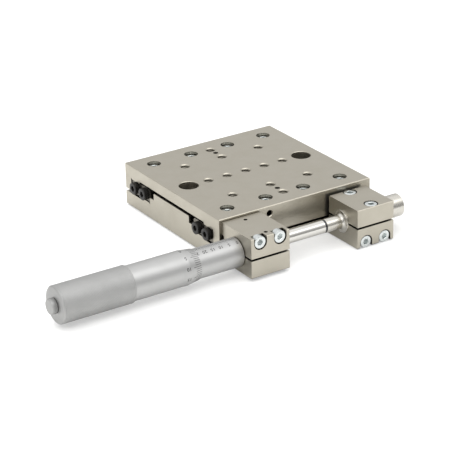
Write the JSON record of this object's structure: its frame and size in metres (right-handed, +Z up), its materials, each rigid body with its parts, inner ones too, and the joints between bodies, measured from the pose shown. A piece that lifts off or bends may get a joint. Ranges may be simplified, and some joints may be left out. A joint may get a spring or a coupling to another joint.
{
  "type": "linear translation stage",
  "caption": "Flat crossed roller translation stage: table on a base, driven by a micrometer head clamped at its side, with tapped holes in the table top",
  "frame": {"origin": "middle of the base plate's underside", "axes": "+X along the travel, from the micrometer to the anvil; -Y the side the micrometer is on; +Z up, out of the table top"},
  "size_m": [0.2199, 0.1286, 0.0259],
  "materials": {
    "satin_nickel_plated_steel": "milled and ground steel under satin nickel plating",
    "ground_rail_steel": "ground",
    "zinc_plated_screw_steel": "bright zinc plated",
    "black_oxide_steel": "black oxide, oiled",
    "satin_chromed_steel": "satin chrome plated",
    "turned_steel": "fine turned",
    "lapped_spindle_steel": "lapped, bright",
    "cemented_carbide": "lapped",
    "roller_bearing_steel": "polished",
    "cage_brass": "stamped sheet",
    "spring_steel": "drawn wire and strip",
    "dowel_steel": "ground"
  },
  "bodies": {
    "base": {"base_plate": "satin_nickel_plated_steel", "inner_rail_front": "ground_rail_steel", "inner_rail_back": "ground_rail_steel", "inner_rail_screws": "zinc_plated_screw_steel", "inner_end_screws": "black_oxide_steel", "anvil_block": "satin_nickel_plated_steel", "anvil_clamp_cap": "satin_nickel_plated_steel", "anvil_block_screws": "zinc_plated_screw_steel", "anvil_clamp_screws": "zinc_plated_screw_steel", "anvil_post": "turned_steel", "base_spring_pins": "dowel_steel", "return_spring_front": "spring_steel", "return_spring_back": "spring_steel"},
    "table": {"table_plate": "satin_nickel_plated_steel", "outer_rail_front": "ground_rail_steel", "outer_rail_back": "ground_rail_steel", "table_rail_screws": "zinc_plated_screw_steel", "outer_end_screws": "black_oxide_steel", "micrometer_block": "satin_nickel_plated_steel", "micrometer_clamp_cap": "satin_nickel_plated_steel", "micrometer_block_screws": "zinc_plated_screw_steel", "micrometer_clamp_screws": "zinc_plated_screw_steel", "table_spring_pins": "dowel_steel", "stem_barrel": "satin_chromed_steel", "graduated_sleeve": "satin_chromed_steel", "adjusting_nut": "satin_chromed_steel"},
    "cage_front": {"cage_front": "cage_brass", "rollers_front": "roller_bearing_steel"},
    "cage_back": {"cage_back": "cage_brass", "rollers_back": "roller_bearing_steel"},
    "spindle": {"spindle": "lapped_spindle_steel", "spindle_tip": "cemented_carbide", "thimble": "satin_chromed_steel", "disc_spring": "spring_steel", "end_screw": "turned_steel"},
    "grip": {"grip_sleeve": "satin_chromed_steel"}
  },
  "joints": [
    {"name": "spindle_turn", "type": "hinge", "parent": "base", "child": "spindle", "pos_m": [0, -0.0644, 0.0121], "axis": [1, 0, 0], "range_deg": [-18000, 18000]},
    {"name": "table_slide", "type": "slide", "parent": "base", "child": "table", "axis": [1, 0, 0], "range_m": [-0.025, 0.025], "deforming": ["return_spring_front", "return_spring_back"]},
    {"name": "cage_front_slide", "type": "slide", "parent": "base", "child": "cage_front", "axis": [1, 0, 0], "range_m": [-0.0125, 0.0125]},
    {"name": "cage_back_slide", "type": "slide", "parent": "base", "child": "cage_back", "axis": [1, 0, 0], "range_m": [-0.0125, 0.0125]},
    {"name": "grip_slip", "type": "hinge", "parent": "spindle", "child": "grip", "pos_m": [0, -0.0644, 0.0121], "axis": [1, 0, 0], "continuous": true}
  ],
  "couplings": [
    {"joint": "spindle_turn", "follows": "table_slide", "rad_per_m": -12566},
    {"joint": "cage_front_slide", "follows": "table_slide", "ratio": 0.5},
    {"joint": "cage_back_slide", "follows": "table_slide", "ratio": 0.5}
  ]
}
